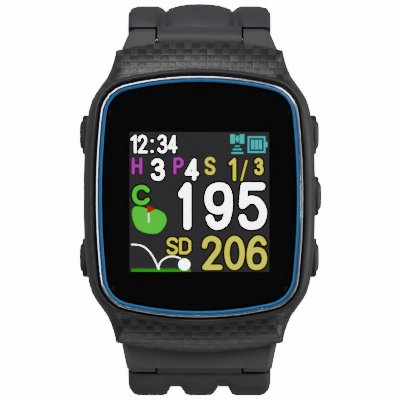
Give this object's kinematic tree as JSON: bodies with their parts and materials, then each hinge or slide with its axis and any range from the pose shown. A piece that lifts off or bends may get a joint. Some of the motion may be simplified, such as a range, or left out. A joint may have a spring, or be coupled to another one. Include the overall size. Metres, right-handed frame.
{
  "type": "golf gps watch",
  "caption": "Golf GPS watch with a square colour display, push buttons along both sides of a rounded case, and an open rubber strap with a pronged buckle.",
  "frame": {"origin": "middle of the flat contact face of the case back", "axes": "+Z out of the display, +Y towards 12 o'clock and the buckle half of the strap, +X towards 3 o'clock"},
  "size_m": [0.0401, 0.066, 0.0739],
  "materials": {
    "case_resin": "fine matt black",
    "carbon_shell": "carbon weave pattern under satin lacquer",
    "polished_steel": "polished",
    "blue_anodised": "blue anodised",
    "lens_glass": "glossy black mineral glass",
    "seal_rubber": "matt",
    "display_glass": "glossy",
    "backlight_plastic": "white",
    "grey_plastic": "matt",
    "flex_film": "amber film",
    "circuit_board": "green solder mask",
    "tin_plate": "tin plated",
    "antenna_ceramic": "unglazed",
    "battery_foil": "foil pouch",
    "spring_steel": "bright",
    "gold_plate": "gold plated",
    "strap_rubber": "fine matt dark grey",
    "buckle_metal": "dark plated"
  },
  "bodies": {
    "case": {"case_body": "case_resin", "case_back": "case_resin", "top_shell": "carbon_shell", "bezel_ring": "polished_steel", "accent_ring": "blue_anodised", "lens": "lens_glass", "lens_gasket": "seal_rubber", "case_back_gasket": "seal_rubber", "display_panel": "display_glass", "display_backlight": "backlight_plastic", "display_chassis": "grey_plastic", "display_flex": "flex_film", "main_board": "circuit_board", "shield_can": "tin_plate", "gps_antenna": "antenna_ceramic", "battery": "battery_foil", "battery_lead": "flex_film", "upper_hinge_pin": "spring_steel", "lower_hinge_pin": "spring_steel", "back_screw_1": "spring_steel", "charging_contact_1": "gold_plate", "back_screw_2": "spring_steel", "charging_contact_2": "gold_plate", "back_screw_3": "spring_steel", "charging_contact_3": "gold_plate", "back_screw_4": "spring_steel", "charging_contact_4": "gold_plate", "tact_switch_upper_left": "tin_plate", "tact_switch_lower_left": "tin_plate", "tact_switch_upper_right": "tin_plate", "tact_switch_middle_right": "tin_plate", "tact_switch_lower_right": "tin_plate"},
    "upper_strap": {"upper_strap": "strap_rubber"},
    "strap_keeper": {"strap_keeper": "strap_rubber"},
    "buckle_frame": {"buckle_frame": "buckle_metal", "buckle_pin": "spring_steel"},
    "buckle_prongs": {"buckle_prongs": "buckle_metal"},
    "lower_strap": {"lower_strap": "strap_rubber"},
    "button_upper_left": {"button_upper_left": "case_resin", "stem_clip_upper_left": "spring_steel", "stem_seal_upper_left": "seal_rubber"},
    "button_lower_left": {"button_lower_left": "case_resin", "stem_clip_lower_left": "spring_steel", "stem_seal_lower_left": "seal_rubber"},
    "button_upper_right": {"button_upper_right": "case_resin", "stem_clip_upper_right": "spring_steel", "stem_seal_upper_right": "seal_rubber"},
    "button_middle_right": {"button_middle_right": "case_resin", "stem_clip_middle_right": "spring_steel", "stem_seal_middle_right": "seal_rubber"},
    "button_lower_right": {"button_lower_right": "case_resin", "stem_clip_lower_right": "spring_steel", "stem_seal_lower_right": "seal_rubber"}
  },
  "joints": [
    {"name": "press_upper_left", "type": "slide", "parent": "case", "child": "button_upper_left", "axis": [1, 0, 0], "range_m": [0, 0.0006], "stiffness_N_per_m": 1000, "springref_m": -0.0004},
    {"name": "press_lower_left", "type": "slide", "parent": "case", "child": "button_lower_left", "axis": [1, 0, 0], "range_m": [0, 0.0006], "stiffness_N_per_m": 1000, "springref_m": -0.0004},
    {"name": "press_upper_right", "type": "slide", "parent": "case", "child": "button_upper_right", "axis": [-1, 0, 0], "range_m": [0, 0.0006], "stiffness_N_per_m": 1000, "springref_m": -0.0004},
    {"name": "press_middle_right", "type": "slide", "parent": "case", "child": "button_middle_right", "axis": [-1, 0, 0], "range_m": [0, 0.0006], "stiffness_N_per_m": 1000, "springref_m": -0.0004},
    {"name": "press_lower_right", "type": "slide", "parent": "case", "child": "button_lower_right", "axis": [-1, 0, 0], "range_m": [0, 0.0006], "stiffness_N_per_m": 1000, "springref_m": -0.0004},
    {"name": "upper_strap_hinge", "type": "hinge", "parent": "case", "child": "upper_strap", "pos_m": [0, 0.0257, 0.0039], "axis": [1, 0, 0], "range_deg": [0, 40]},
    {"name": "lower_strap_hinge", "type": "hinge", "parent": "case", "child": "lower_strap", "pos_m": [0, -0.0266, 0.0035], "axis": [-1, 0, 0], "range_deg": [0, 35]},
    {"name": "keeper_slide", "type": "slide", "parent": "upper_strap", "child": "strap_keeper", "axis": [0, 0.1485, 0.9889], "range_m": [0, 0.009]},
    {"name": "buckle_hinge", "type": "hinge", "parent": "upper_strap", "child": "buckle_frame", "pos_m": [0, 0.0261, -0.04481], "axis": [1, 0, 0], "range_deg": [-60, 30]},
    {"name": "prong_hinge", "type": "hinge", "parent": "buckle_frame", "child": "buckle_prongs", "pos_m": [0, 0.0261, -0.04481], "axis": [1, 0, 0], "range_deg": [0, 75]}
  ]
}
